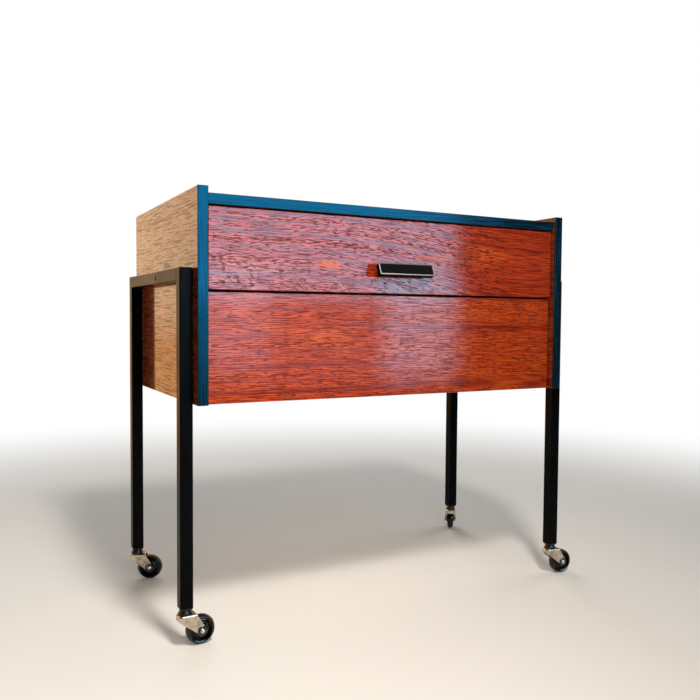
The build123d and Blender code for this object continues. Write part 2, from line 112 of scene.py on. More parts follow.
class Graph:
    """The nodes of one material, of a lamp or of the world."""

    def __init__(self, tree: bpy.types.NodeTree) -> None:
        """Start from an empty tree."""
        self.tree = tree
        tree.nodes.clear()

    def node(self, kind: str, settings: dict | None = None, inputs: dict | None = None) -> Node:
        """Add a node.

        Args:
            kind: the node's type name.
            settings: its properties, set first; "stops" are a ramp's (place, colour) pairs.
            inputs: values or links by socket name, identifier or number.

        Returns:
            The new node.
        """
        made = self.tree.nodes.new(kind)
        for key, value in (settings or {}).items():
            if key == "stops":
                self.set_stops(made.color_ramp.elements, value)
            else:
                setattr(made, key, value)
        for key, value in (inputs or {}).items():
            self.feed(self.find(made.inputs, key), value)
        return made

    @staticmethod
    def set_stops(elements: Collection, stops: Sequence[tuple[float, Colour]]) -> None:
        """Give a colour ramp its stops.

        Args:
            elements: the ramp's elements.
            stops: the stops' places and colours, in order.
        """
        while len(elements) < len(stops):
            elements.new(0.5)
        for element, (place, colour) in zip(elements, stops):
            element.position = place
            element.color = (*colour, 1)

    @staticmethod
    def find(sockets: Collection, key: str | int) -> Socket:
        """Find a socket.

        Args:
            sockets: a node's inputs or outputs.
            key: the socket's number, or else its identifier or name.

        Returns:
            The socket.
        """
        if isinstance(key, int):
            return sockets[key]
        return next((socket for socket in sockets if socket.identifier == key), None) or sockets[key]

    def feed(self, socket: Socket, value: Feed) -> None:
        """Link a value to an input, or set the input.

        Args:
            socket: the input.
            value: a value or a socket to link, or a plain number or colour to set.
        """
        if isinstance(value, Value):
            self.tree.links.new(value.socket, socket)
        elif isinstance(value, Socket):
            self.tree.links.new(value, socket)
        elif socket.type == "RGBA":
            socket.default_value = (*value, 1)
        else:
            socket.default_value = value

    def number(self, node: Node, key: str | int = 0) -> Value:
        """Take one of a node's outputs as a number."""
        return Value(self, self.find(node.outputs, key))

    def math(self, operation: str, *values: Number) -> Value:
        """Add a Math node."""
        return self.number(self.node("ShaderNodeMath", {"operation": operation}, dict(enumerate(values))))

    def ramp(self, value: Number, low: float, high: float) -> Value:
        """Ease a value from 0 at low to 1 at high."""
        inputs = {"Value": value, "From Min": low, "From Max": high}
        return self.number(self.node("ShaderNodeMapRange", {"interpolation_type": "SMOOTHSTEP"}, inputs))

    def vector(self, x: Number, y: Number, z: Number = 0.0) -> Socket:
        """Join three numbers into a vector."""
        return self.node("ShaderNodeCombineXYZ", None, {"X": x, "Y": y, "Z": z}).outputs[0]

    def noise(self, place: Socket, detail: float = 2.0, roughness: float = 0.5) -> Value:
        """Read smooth noise, from about 0.2 to 0.8, whose features are about one unit of place."""
        inputs = {"Vector": place, "Scale": 1.0, "Detail": detail, "Roughness": roughness}
        return self.number(self.node("ShaderNodeTexNoise", None, inputs), "Fac")

    def mix(self, factor: Number, first: Feed, second: Feed, blend: str = "MIX") -> Socket:
        """Blend two colours.

        Args:
            factor: the second colour's share, from 0 to 1.
            first, second: the colours.
            blend: how they blend.

        Returns:
            The blend's output.
        """
        inputs = {"Factor_Float": factor, "A_Color": first, "B_Color": second}
        node = self.node("ShaderNodeMix", {"data_type": "RGBA", "blend_type": blend}, inputs)
        return self.find(node.outputs, "Result_Color")

    def colours(self, value: Number, stops: Sequence[tuple[float, Colour]]) -> Socket:
        """Look a value up in a colour ramp."""
        return self.node("ShaderNodeValToRGB", {"stops": stops}, {"Fac": value}).outputs["Color"]

    def parts(self, vector: Socket) -> Place:
        """Part a vector into its x, y and z."""
        node = self.node("ShaderNodeSeparateXYZ", None, {"Vector": vector})
        return tuple(self.number(node, axis) for axis in "XYZ")

    def place(self) -> Place:
        """Read the point's own place in the part's frame, in metres, as x, y and z."""
        return self.parts(self.node("ShaderNodeTexCoord").outputs["Object"])

    def bump(self, height: Value, strength: float, distance: float) -> Socket:
        """Turn a height into a bent normal."""
        inputs = {"Height": height, "Strength": strength, "Distance": distance}
        return self.node("ShaderNodeBump", None, inputs).outputs["Normal"]

    def seen_by(self, rays: Node, *kinds: str) -> Value:
        """Tell rays of some kinds from all others.

        Args:
            rays: a Light Path node.
            kinds: the kinds of ray, such as Camera.

        Returns:
            1 for a ray of these kinds and 0 for any other.
        """
        seen = self.number(rays, f"Is {kinds[0]} Ray")
        for kind in kinds[1:]:
            seen = self.math("MAXIMUM", seen, self.number(rays, f"Is {kind} Ray"))
        return seen


class GrainRun(Enum):
    """The axes along the grain, across it, and into the board."""

    ACROSS_FRONT = (0, 2, 1)
    ALONG_SIDE = (1, 2, 0)
    OVER_TOP = (0, 1, 2)
    UP_EDGE = (2, 0, 1)

    def read(self, graph: Graph) -> Place:
        """Read the point's place along the grain, across it and into the board, in metres."""
        axes = graph.place()
        return tuple(axes[axis] for axis in self.value)


@dataclass(frozen=True)
class Grain:
    """Noise that changes so many times to the metre along a piece, across it and into it.

    The shift sets it apart from the other noise of the same finish.
    """

    along: float
    across: float
    into: float = 0.0
    shift: float = 0.0
    detail: float = 1.0
    roughness: float = 0.5

    @classmethod
    def even(cls, per_metre: float, detail: float = 2.0, roughness: float = 0.5) -> "Grain":
        """Make noise that changes alike in all directions."""
        return cls(per_metre, per_metre, per_metre, 0.0, detail, roughness)

    def read(self, place: Place, seed: float = 0.0) -> Value:
        """Read the noise at a place.

        Args:
            place: the place along the piece, across it and into it, in metres.
            seed: where in the noise the piece lies.

        Returns:
            The noise, from about 0.2 to 0.8.
        """
        along, across, into = place
        depth = seed + self.shift
        if self.into:
            depth = into * self.into + depth
        graph = along.graph
        point = graph.vector(along * self.along, across * self.across, depth)
        return graph.noise(point, self.detail, self.roughness)


@dataclass(frozen=True)
class Finish:
    """A surface finish, which makes its material once and then lends it out."""

    name: str
    made: ClassVar[dict[str, Material]] = {}

    def material(self) -> Material:
        """Give the finish's material.

        Returns:
            The material, built at the first call.
        """
        if self.name not in Finish.made:
            material = bpy.data.materials.new(self.name)
            material.use_nodes = True
            graph = Graph(material.node_tree)
            surface = graph.node("ShaderNodeBsdfPrincipled", None, self.sockets(graph))
            graph.node("ShaderNodeOutputMaterial", None, {"Surface": surface.outputs["BSDF"]})
            Finish.made[self.name] = material
        return Finish.made[self.name]

    def sockets(self, graph: Graph) -> dict[str, Feed]:
        """Build the nodes and give what feeds the shader's sockets."""
        raise NotImplementedError

    def dress(self, *nodes: str) -> None:
        """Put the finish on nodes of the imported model.

        Args:
            nodes: the nodes' names.
        """
        for node in nodes:
            self.cover(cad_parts[node])
            log.info("dressed %s in %s", node, self.name)

    def cover(self, piece: Piece) -> None:
        """Put the finish in a piece's material slots, or in a first one.

        Args:
            piece: the piece.
        """
        if not piece.material_slots:
            piece.data.materials.append(self.material())
        for slot in piece.material_slots:
            slot.material = self.material()


@dataclass(frozen=True)
class WarmSpot:
    """A pale orange streak in a veneer, given by its middle, half its length and half its width."""

    along: float
    across: float
    half_length: float
    half_width: float
    slope: float = 0.05
    edge: Span = (0.1, 1.0)

    def mask(self, graph: Graph, place: Place) -> Value:
        """Make the spot.

        Args:
            graph: the material's nodes.
            place: the place on the board.

        Returns:
            The spot, from 0 outside to 1 in its middle.
        """
        offset = place[0] - self.along
        length = offset / self.half_length
        rise = (place[1] - self.across + offset * self.slope) / self.half_width
        return 1 - graph.ramp(length * length + rise * rise, *self.edge)


@dataclass(frozen=True)
class Figure:
    """How a veneer was cut: where its heart line runs and how its layers arch over it."""

    heart: float
    arch_start: float
    arch_end: float
    arch_rise: float
    drift: float = 10 * MM
    dash_share: float = 1.0
    fleck_end: float | None = None
    fleck_top: float = 0.0
    warm_spots: tuple[WarmSpot, ...] = ()


@dataclass(frozen=True)
class TeakVeneer(Finish):
    """Varnished teak with growth layers, streaks and open pores."""

    run: GrainRun
    figure: Figure
    seed: float
    ripple: float = 2.4 * MM
    light: Colour = paint(197, 76, 18)
    middle: Colour = paint(166, 55, 14)
    dark: Colour = paint(106, 25, 7)
    pore: Colour = paint(52, 12, 11)
    glow: Colour = paint(210, 96, 24)
    dulled: float = 0.95
    fineness: float = 2.3
    stretch: float = 1.0

    # The bends of the growth layers.
    WANDER = Grain(5, 9, detail=2)
    SHIVER = Grain(18, 50, shift=3, detail=2)
    LEAN = 4 / 9
    SLANT = 0.4

    # The layers themselves, and what lies along them.
    BANDS = Grain(1.5, 75, 300, 5, 2, 0.6)
    STREAKS = Grain(4, 150, 300, 7, 4, 0.7)
    LINES = Grain(30, 280, 300, 9)
    DASHES = Grain(100, 260, 300, 11)
    FIBRES = Grain(22, 300, 300, 13)
    TONE = Grain(7, 24, 300, 15, 2)

    # Where in its noise each of them begins and is full, and how deep its colour goes.
    STOPS = (0.40, 0.48, 0.57)
    LINE_EDGE = (0.53, 0.59)
    LINE_DEPTH = 0.75
    LINE_HOLLOW = 0.65
    PORE_EDGE = (0.55, 0.63)
    PORE_DEPTH = 0.85
    GLOW_EDGE = (0.54, 0.74)
    GLOW_DEPTH = 0.35
    WARM_EDGE = (0.36, 0.56)
    WARM_DEPTH = 0.8
    WARM_HOLLOW = 0.55

    # Pores are fewer past the end of the arch.
    CALM_REACH = 40 * MM
    CALM_SHARE = 0.8

    # Flecks are marks on slanting chains.
    FLECK_SLANT = 0.9
    CHAINS = Grain(55, 40, shift=17)
    CHAIN_EDGE = (0.015, 0.07)
    CHAIN_PULL = 0.1
    MARKS = Grain(150, 190, shift=19)
    MARK_EDGE = (0.6, 0.65)
    FLECK_RISE = 12 * MM
    FLECK_FADE = 70 * MM
    FLECK_DEPTH = 0.7

    def sockets(self, graph: Graph) -> dict[str, Feed]:
        """Build the wood.

        Args:
            graph: the material's nodes.

        Returns:
            The shader's inputs.
        """
        place = self.run.read(graph)
        along, _, into = place
        layer = self.growth(graph, place)
        bands = self.BANDS.read((along, layer, into), self.seed)
        lengths = (along / self.stretch, layer * self.fineness, into)
        grains = (self.STREAKS, self.LINES, self.DASHES, self.FIBRES)
        streaks, lines, dashes, fibres = (grain.read(lengths, self.seed) for grain in grains)
        tone = self.TONE.read(place, self.seed)
        swing = bands - 0.5
        dark_lines = graph.ramp(lines + swing * 0.25, *self.LINE_EDGE)
        pores = self.pores(graph, place, dashes + swing * 0.4)
        stops = list(zip(self.STOPS, (self.dark, self.middle, self.light)))
        wood = graph.colours(bands * 0.4 + streaks * 0.2 + fibres * 0.4, stops)
        wood = graph.mix(graph.ramp(tone, *self.GLOW_EDGE) * self.GLOW_DEPTH, wood, self.glow)
        wood = graph.mix(dark_lines * self.LINE_DEPTH, wood, self.dark)
        wood = graph.mix(pores * self.PORE_DEPTH, wood, self.pore)
        hollows = graph.math("MAXIMUM", dark_lines * self.LINE_HOLLOW, pores)
        for spot in self.figure.warm_spots:
            warm = spot.mask(graph, place) * graph.ramp(lines, *self.WARM_EDGE)
            wood = graph.mix(warm * self.WARM_DEPTH, wood, self.glow)
            hollows = graph.math("MAXIMUM", hollows, warm * self.WARM_HOLLOW)
        return {
            "Base Color": wood,
            "Roughness": hollows * 0.2 + streaks * 0.1 + 0.36,
            "Specular IOR Level": 0.03,
            "Coat Weight": 1 - hollows * self.dulled,
            "Coat Roughness": 0.08,
            "Normal": graph.bump(0 - hollows - fibres * 0.5, 0.3, 0.2 * MM),
        }

    def growth(self, graph: Graph, place: Place) -> Value:
        """Work out which growth layer a place lies in.

        Args:
            graph: the material's nodes.
            place: the place on the board.

        Returns:
            The layer, in metres from the heart line.
        """
        along, across, into = place
        cut = self.figure
        wander = self.WANDER.read((along, across + into * self.LEAN, into), self.seed) - 0.5
        shiver = self.SHIVER.read(place, self.seed) - 0.5
        offset = across - cut.heart + wander * cut.drift
        arch = graph.ramp(along, cut.arch_start, cut.arch_end) * cut.arch_rise
        arched = graph.math("SQRT", offset * offset + arch * arch)
        return arched + offset * self.SLANT + shiver * self.ripple

    def pores(self, graph: Graph, place: Place, dashes: Value) -> Value:
        """Open the wood's pores, with the flecks where the board has them.

        Args:
            graph: the material's nodes.
            place: the place on the board.
            dashes: the noise that the pores are cut from.

        Returns:
            The pores, from 0 to 1.
        """
        cut = self.figure
        calm = 1 - graph.ramp(place[0], cut.arch_end - self.CALM_REACH, cut.arch_end) * self.CALM_SHARE
        pores = graph.ramp(dashes, *self.PORE_EDGE) * calm * cut.dash_share
        if cut.fleck_end is None:
            return pores
        return graph.math("MAXIMUM", pores, self.flecks(graph, place))

    def flecks(self, graph: Graph, place: Place) -> Value:
        """Scatter the short slanting flecks of the board's lower corner.

        Args:
            graph: the material's nodes.
            place: the place on the board.

        Returns:
            The flecks, from 0 to 1.
        """
        along, across, into = place
        cut = self.figure
        slanted = (along + across * self.FLECK_SLANT, across, into)
        curves = self.CHAINS.read(slanted, self.seed)
        chains = 1 - graph.ramp(graph.math("ABSOLUTE", curves - 0.5), *self.CHAIN_EDGE)
        marks = self.MARKS.read(slanted, self.seed)
        low = graph.ramp(across, cut.fleck_top, cut.fleck_top - self.FLECK_RISE)
        fade = graph.ramp(along, cut.fleck_end, cut.fleck_end - self.FLECK_FADE)
        flecks = graph.ramp(marks + chains * self.CHAIN_PULL, *self.MARK_EDGE)
        return flecks * chains * low * fade * self.FLECK_DEPTH


@dataclass(frozen=True)
class EdgeLacquer(Finish):
    """Blue-black lacquer over the grain of an edge band, which shines blue."""

    run: GrainRun
    seed: float
    deep: Colour = paint(6, 11, 15)
    bright: Colour = paint(8, 32, 46)
    shine: Colour = (0.03, 0.62, 0.95)

    LINES = Grain(16, 420, detail=3, roughness=0.6)
    POOLS = Grain(11, 40, shift=4, detail=2)

    def sockets(self, graph: Graph) -> dict[str, Feed]:
        """Build the lacquer.

        Args:
            graph: the material's nodes.

        Returns:
            The shader's inputs.
        """
        along, across, into = self.run.read(graph)
        lines = self.LINES.read((along, across + into, into), self.seed)
        pools = self.POOLS.read((along, across, into), self.seed)
        stops = [(0.38, self.deep), (0.64, self.bright)]
        return {
            "Base Color": graph.colours(lines * 0.6 + pools * 0.4, stops),
            "Roughness": graph.ramp(lines, 0.4, 0.7) * 0.22 + 0.14,
            "Specular IOR Level": 0.48,
            "Specular Tint": self.shine,
            "Normal": graph.bump(lines, 0.15, 0.15 * MM),
        }


@dataclass(frozen=True)
class PlainWood(Finish):
    """Pale wood with little finish, such as the drawers' insides are made of."""

    run: GrainRun
    seed: float
    light: Colour
    dark: Colour
    fleck: Colour
    fleck_share: float
    streak_width: float = 5 * MM
    drift: float = 18 * MM

    WANDER = Grain(4, 8, 8, detail=2)
    FIBRES = Grain(60, 1400, 1400, detail=2, roughness=0.6)
    FLECKS = Grain(190, 1500, 1500)

    def sockets(self, graph: Graph) -> dict[str, Feed]:
        """Build the wood.

        Args:
            graph: the material's nodes.

        Returns:
            The shader's inputs.
        """
        along, across, into = self.run.read(graph)
        wander = self.WANDER.read((along, across, into), self.seed) - 0.5
        place = (along, across + wander * self.drift, into)
        streaks = Grain(5, 1 / self.streak_width, 60, detail=4, roughness=0.6).read(place, self.seed)
        fibres = self.FIBRES.read(place)
        marks = graph.ramp(self.FLECKS.read(place, self.seed), 0.6, 0.68) * self.fleck_share
        wood = graph.colours(streaks * 0.7 + fibres * 0.3, [(0.34, self.dark), (0.66, self.light)])
        return {
            "Base Color": graph.mix(marks, wood, self.fleck),
            "Roughness": streaks * 0.2 + 0.42,
            "Specular IOR Level": 0.4,
            "Normal": graph.bump(fibres - marks, 0.2, 0.2 * MM),
        }


@dataclass(frozen=True)
class Coating(Finish):
    """Paint, lacquer or moulded plastic: a skin with a slight swell, dust and scuffs."""

    base: Colour
    scuff: Colour
    roughness: float
    coat: float
    swell: float
    gloss: float = 0.5
    scuff_share: float = 0.5
    swell_size: float = 3 * MM

    CLOUD = Grain.even(28, 3)
    SPECKS = Grain.even(420)

    def sockets(self, graph: Graph) -> dict[str, Feed]:
        """Build the skin.

        Args:
            graph: the material's nodes.

        Returns:
            The shader's inputs.
        """
        place = graph.place()
        skin = Grain.even(1 / self.swell_size).read(place)
        cloud = self.CLOUD.read(place)
        specks = self.SPECKS.read(place)
        marks = graph.ramp(specks + (cloud - 0.5) * 0.4, 0.66, 0.78) * self.scuff_share
        tone = graph.mix(graph.ramp(cloud, 0.35, 0.7) * 0.35, self.base, self.scuff)
        return {
            "Base Color": graph.mix(marks, tone, self.scuff),
            "Roughness": cloud * 0.16 + marks * 0.3 + (self.roughness - 0.08),
            "Specular IOR Level": self.gloss,
            "Coat Weight": self.coat,
            "Coat Roughness": 0.08,
            "Normal": graph.bump(skin - marks * 0.5, self.swell, 0.2 * MM),
        }


@dataclass(frozen=True)
class BareMetal(Finish):
    """Bare or plated metal with a patchy bloom, fine working marks and, where asked, a painted shade over
    its top, for the dark things that the top mirrors.
    """

    base: Colour
    bloom: Colour
    roughness: float
    bloom_share: float
    mark_size: float = 1.2 * MM
    # Above this height the plate turns to a painted shade, for a top that mirrors the dark leg and collar
    # over it.
    top_shade_painted_above: float | None = None
    painted_top_shade: Colour = paint(30, 27, 25)

    PATCHES = Grain.even(130, 4, 0.6)
    # How soft the edge of the painted shade on the top is.
    PAINTED_TOP_SHADE_BLEND = 0.3 * MM

    def sockets(self, graph: Graph) -> dict[str, Feed]:
        """Build the metal.

        Args:
            graph: the material's nodes.

        Returns:
            The shader's inputs.
        """
        place = graph.place()
        patches = self.PATCHES.read(place)
        marks = Grain.even(1 / self.mark_size, 3, 0.7).read(place)
        bloom = graph.ramp(patches, 0.42, 0.68) * self.bloom_share
        plate = graph.mix(bloom, self.base, self.bloom)
        # Painted shade over the top, in place of the dark reflection it shows.
        if self.top_shade_painted_above is not None:
            top = graph.ramp(place[2], self.top_shade_painted_above, self.top_shade_painted_above + self.PAINTED_TOP_SHADE_BLEND)
            plate = graph.mix(top, plate, self.painted_top_shade)
        return {
            "Base Color": plate,
            "Metallic": 1.0,
            "Roughness": bloom * 0.22 + marks * 0.14 + (self.roughness - 0.07),
            "Normal": graph.bump(marks, 0.08, 0.1 * MM),
        }


@dataclass(frozen=True)
class DrawnMetal(Finish):
    """Bright metal drawn along the part's width, with fine lines along it and a painted shade on its upper
    edge, for the darker reflection there.
    """

    base: Colour
    shade: Colour
    roughness: float
    # Above this height the colour darkens: painted shade on the upper edge, standing in for its darker
    # reflection.
    rim_shade_painted_above: float
    painted_rim_shade: Colour = paint(60, 60, 60)

    LINES = Grain(40, 4200, 4200, detail=3, roughness=0.7)
    CLOUD = Grain(60, 90, 90, detail=3)
    # How soft and how deep the painted shade on the upper edge is.
    PAINTED_RIM_SHADE_BLEND = 0.4 * MM
    PAINTED_RIM_SHADE_DEPTH = 0.75

    def sockets(self, graph: Graph) -> dict[str, Feed]:
        """Build the metal.

        Args:
            graph: the material's nodes.

        Returns:
            The shader's inputs.
        """
        place = graph.place()
        lines = self.LINES.read(place)
        cloud = self.CLOUD.read(place)
        bright = graph.mix(lines * 0.5 + cloud * 0.3, self.base, self.shade)
        # Painted shade: the upper edge is darkened in place of the darker reflection it shows.
        upper = graph.ramp(place[2], self.rim_shade_painted_above, self.rim_shade_painted_above + self.PAINTED_RIM_SHADE_BLEND)
        return {
            "Base Color": graph.mix(upper * self.PAINTED_RIM_SHADE_DEPTH, bright, self.painted_rim_shade),
            "Metallic": 1.0,
            "Roughness": lines * 0.14 + cloud * 0.1 + (self.roughness - 0.1),
            "Normal": graph.bump(lines, 0.06, 0.05 * MM),
        }


@dataclass(frozen=True)
class WheelBlack(Finish):
    """Glossy black moulding with the turned rings of a castor wheel.

    Each ring is given by its radius and by half its width.
    """

    centre: Point
    base: Colour = paint(3, 3, 4)
    dust: Colour = paint(40, 37, 34)
    rings: tuple[Span, ...] = ((8.2 * MM, 1.6 * MM), (13.4 * MM, 1.8 * MM), (17.2 * MM, 2.0 * MM))
    tread: Span = (18.6 * MM, 19.5 * MM)

    TURNS_PER_METRE = 1900
    TURN_DEPTH = 0.03
    CLOUD = Grain.even(120, 3)

    def sockets(self, graph: Graph) -> dict[str, Feed]:
        """Build the moulding.

        Args:
            graph: the material's nodes.

        Returns:
            The shader's inputs.
        """
        place = graph.place()
        offsets = [axis - middle for axis, middle in zip(place, self.centre)]
        squares = [offset * offset for offset in offsets]
        radius = graph.math("SQRT", squares[0] + squares[1] + squares[2])
        turned = graph.noise(graph.vector(radius * self.TURNS_PER_METRE, 0.0), 2, 0.6) * self.TURN_DEPTH
        for centre, half_width in self.rings:
            offset = (radius - centre) / half_width
            turned = turned + graph.math("MAXIMUM", 1 - graph.math("ABSOLUTE", offset), 0.0)
        cloud = self.CLOUD.read(place)
        dust = graph.ramp(cloud, 0.5, 0.75) * (graph.ramp(radius, *self.tread) * 0.4 + 0.05)
        return {
            "Base Color": graph.mix(dust, self.base, self.dust),
            "Roughness": dust * 0.5 + cloud * 0.06 + 0.09,
            "Specular IOR Level": 0.36,
            "Normal": graph.bump(turned, 1.0, 0.8 * MM),
        }


class Bench:
    """Modelling by operators, on one new piece at a time."""

    SMOOTH_ANGLE = math.radians(35)

    @staticmethod
    def deselect() -> None:
        """Leave no object selected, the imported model's included."""
        if bpy.context.mode != "OBJECT":
            bpy.ops.object.mode_set(mode="OBJECT")
        bpy.ops.object.select_all(action="DESELECT")

    @staticmethod
    def only(*pieces: Piece) -> None:
        """Select some pieces alone and make the first the active one.

        Args:
            pieces: the pieces.
        """
        Bench.deselect()
        for piece in pieces:
            piece.select_set(True)
        bpy.context.view_layer.objects.active = pieces[0]

    @staticmethod
    def named(name: str) -> Piece:
        """Name the piece just added.

        Args:
            name: the name of the piece and of its mesh.

        Returns:
            The piece.
        """
        piece = bpy.context.object
        piece.name = name
        piece.data.name = name
        return piece

    @staticmethod
    @contextmanager
    def editing(piece: Piece) -> Iterator[None]:
        """Work on a whole piece in edit mode.

        Args:
            piece: the piece, all of which is selected at the start.
        """
        Bench.only(piece)
        bpy.ops.object.mode_set(mode="EDIT")
        bpy.ops.mesh.select_all(action="SELECT")
        yield
        bpy.ops.object.mode_set(mode="OBJECT")

    @staticmethod
    def dome(
        name: str, radius: float, rise: float, up: Sequence[int], segments: int, rings: int,
    ) -> Piece:
        """Model a flattened half ball with its foot at the origin.

        Args:
            name: the piece's name.
            radius: the foot's radius.
            rise: the dome's height.
            up: the axis that its top points along.
            segments, rings: how many faces go round the ball and from pole to pole.

        Returns:
            The dome.
        """
        Bench.deselect()
        bpy.ops.mesh.primitive_uv_sphere_add(segments=segments, ring_count=rings, radius=radius)
        dome = Bench.named(name)
        flattened = tuple(rise / radius if axis else 1 for axis in up)
        with Bench.editing(dome):
            bpy.ops.transform.resize(value=flattened)
            bpy.ops.mesh.bisect(plane_co=(0, 0, 0), plane_no=up, clear_inner=True, use_fill=True)
        return dome

    @staticmethod
    def settle(piece: Piece) -> Piece:
        """Put a piece's place, turn and scale into its mesh and shade it.

        Args:
            piece: the piece.

        Returns:
            The same piece.
        """
        Bench.only(piece)
        bpy.ops.object.transform_apply(location=True, rotation=True, scale=True)
        bpy.ops.object.shade_smooth_by_angle(angle=Bench.SMOOTH_ANGLE)
        return piece

    @staticmethod
    def copy(piece: Piece, name: str, place: Matrix) -> Piece:
        """Copy a piece with its own mesh.

        Args:
            piece: the piece.
            name: the copy's name.
            place: how the copy is moved.

        Returns:
            The copy.
        """
        twin = piece.copy()
        twin.data = piece.data.copy()
        twin.data.transform(place)
        twin.name = name
        twin.data.name = name
        bpy.context.collection.objects.link(twin)
        return twin

    @staticmethod
    def join(name: str, pieces: Sequence[Piece]) -> Piece:
        """Join pieces into one.

        Args:
            name: the joined piece's name.
            pieces: the pieces.

        Returns:
            The joined piece.
        """
        Bench.only(*pieces)
        bpy.ops.object.join()
        return Bench.named(name)


@dataclass(frozen=True)
class SlottedHead:
    """A raised screw head with a slot, made at the origin with its top towards +Z."""

    radius: float
    rise: float
    slot_width: float
    slot_depth: float
    segments: int = 40
    rings: int = 16

    def build(self, name: str) -> Piece:
        """Model the head from a dome.

        Args:
            name: the piece's name.

        Returns:
            The head.
        """
        head = Bench.dome(name, self.radius, self.rise, (0, 0, 1), self.segments, self.rings)
        self.cut_slot(head)
        return Bench.settle(head)

    def cut_slot(self, head: Piece) -> None:
        """Cut the slot through the top of the head, along X.

        Args:
            head: the head.
        """
        Bench.deselect()
        bpy.ops.mesh.primitive_cube_add(size=1, location=(0, 0, self.rise))
        cutter = Bench.named("slot_cutter")
        cutter.scale = (self.radius * 3, self.slot_width, self.slot_depth * 2)
        Bench.settle(cutter)
        Bench.only(head)
        bpy.ops.object.modifier_add(type="BOOLEAN")
        cut = head.modifiers[-1]
        cut.operation = "DIFFERENCE"
        cut.solver = "EXACT"
        cut.object = cutter
        bpy.ops.object.modifier_apply(modifier=cut.name)
        bpy.data.objects.remove(cutter)


class Side(Enum):
    """The two sides of the cabinet, as seen from the front."""

    LEFT = "left"
    RIGHT = "right"

    @property
    def sign(self) -> int:
        """Give -1 on the left and 1 on the right."""
        return -1 if self is Side.LEFT else 1


class Corner(Enum):
    """The four corners that stand on a castor."""

    FRONT_LEFT = "front_left"
    REAR_LEFT = "rear_left"
    FRONT_RIGHT = "front_right"
    REAR_RIGHT = "rear_right"


LEVELS = ("upper", "lower")


def beech(name: str, run: GrainRun, seed: float) -> PlainWood:
    """Make beech, which has many short flecks."""
    colours = (paint(214, 170, 122), paint(188, 138, 92), paint(146, 96, 58))
    return PlainWood(name, run, seed, *colours, fleck_share=0.6)


def birch(name: str, run: GrainRun, seed: float) -> PlainWood:
    """Make birch plywood, which has broad quiet streaks."""
    colours = (paint(222, 188, 142), paint(202, 162, 112), paint(176, 130, 84))
    return PlainWood(name, run, seed, *colours, fleck_share=0.3, streak_width=9 * MM)


@dataclass
class Case:
    """The boards of the case, their dark front edges and the pins in its back."""

    pin_radius: float = 1.7 * MM
    pin_rise: float = 1.0 * MM
    pin_edge: float = 5 * MM
    pin_pitch: float = 88 * MM
    pin_steps: tuple[int, int] = (20, 10)
    side_figure: Figure = Figure(
        heart=1.6, arch_start=-0.2, arch_end=0.22, arch_rise=0.0, drift=8 * MM, dash_share=0.4,
    )
    top_figure: Figure = Figure(heart=0.03, arch_start=-0.35, arch_end=0.25, arch_rise=50 * MM)

    def build(self) -> None:
        """Pin the back panel all round."""
        low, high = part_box("back_panel")
        spots = self.pin_spots(low, high)
        start_x, start_z = spots[0]
        first = self.build_pin((start_x, high.y, start_z))
        pins = [first]
        for index, (x, z) in enumerate(spots[1:], 1):
            move = Matrix.Translation((x - start_x, 0, z - start_z))
            pins.append(Bench.copy(first, f"back_pin_{index}", move))
        piece = Bench.join("back_pins", pins)
        colours = (paint(120, 116, 108), paint(70, 60, 50))
        BareMetal("pin_steel", *colours, roughness=0.4, bloom_share=0.6).cover(piece)
        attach(piece, "cabinet")
        log.info("built %s, %d pins", piece.name, len(pins))

    def pin_spots(self, low: Vector, high: Vector) -> list[Span]:
        """List where the pins go, as x and z, from the lower left corner on.

        Args:
            low, high: the back panel's corners.

        Returns:
            The pins' places.
        """
        left, right = low.x + self.pin_edge, high.x - self.pin_edge
        bottom, top = low.z + self.pin_edge, high.z - self.pin_edge
        columns = round((right - left) / self.pin_pitch)
        rows = round((top - bottom) / self.pin_pitch)
        xs = [left + (right - left) * step / columns for step in range(columns + 1)]
        zs = [bottom + (top - bottom) * step / rows for step in range(1, rows)]
        level = [(x, z) for z in (bottom, top) for x in xs]
        return level + [(x, z) for x in (left, right) for z in zs]

    def build_pin(self, place: Point) -> Piece:
        """Model the first pin's domed head on the rear face.

        Args:
            place: the middle of the head's foot.

        Returns:
            The pin.
        """
        pin = Bench.dome("back_pin_0", self.pin_radius, self.pin_rise, (0, 1, 0), *self.pin_steps)
        pin.location = place
        return Bench.settle(pin)

    def dress(self) -> None:
        """Finish the boards, their edges and the runners."""
        brown = (paint(146, 64, 31), paint(120, 44, 21), paint(78, 23, 11))
        for side, seed in ((Side.LEFT, 21.0), (Side.RIGHT, 34.0)):
            veneer = TeakVeneer(
                f"{side.value}_side_veneer", GrainRun.ALONG_SIDE, self.side_figure, seed, 0.6 * MM, *brown,
                dulled=0.7, fineness=3.2, stretch=1.7,
            )
            veneer.dress(f"{side.value}_side_panel")
            lacquer = EdgeLacquer(f"{side.value}_edge_lacquer", GrainRun.UP_EDGE, seed)
            lacquer.dress(f"{side.value}_edge_band")
        TeakVeneer("top_veneer", GrainRun.OVER_TOP, self.top_figure, 55.0).dress("top_panel")
        EdgeLacquer("top_edge_lacquer", GrainRun.ACROSS_FRONT, 8.0).dress("top_edge_band")
        birch("birch_back", GrainRun.ACROSS_FRONT, 3.0).dress("back_panel")
        birch("birch_bottom", GrainRun.OVER_TOP, 6.0).dress("bottom_panel")
        runners = [f"{level}_{side.value}_runner" for level in LEVELS for side in Side]
        beech("beech_runner", GrainRun.ALONG_SIDE, 2.0).dress(*runners)


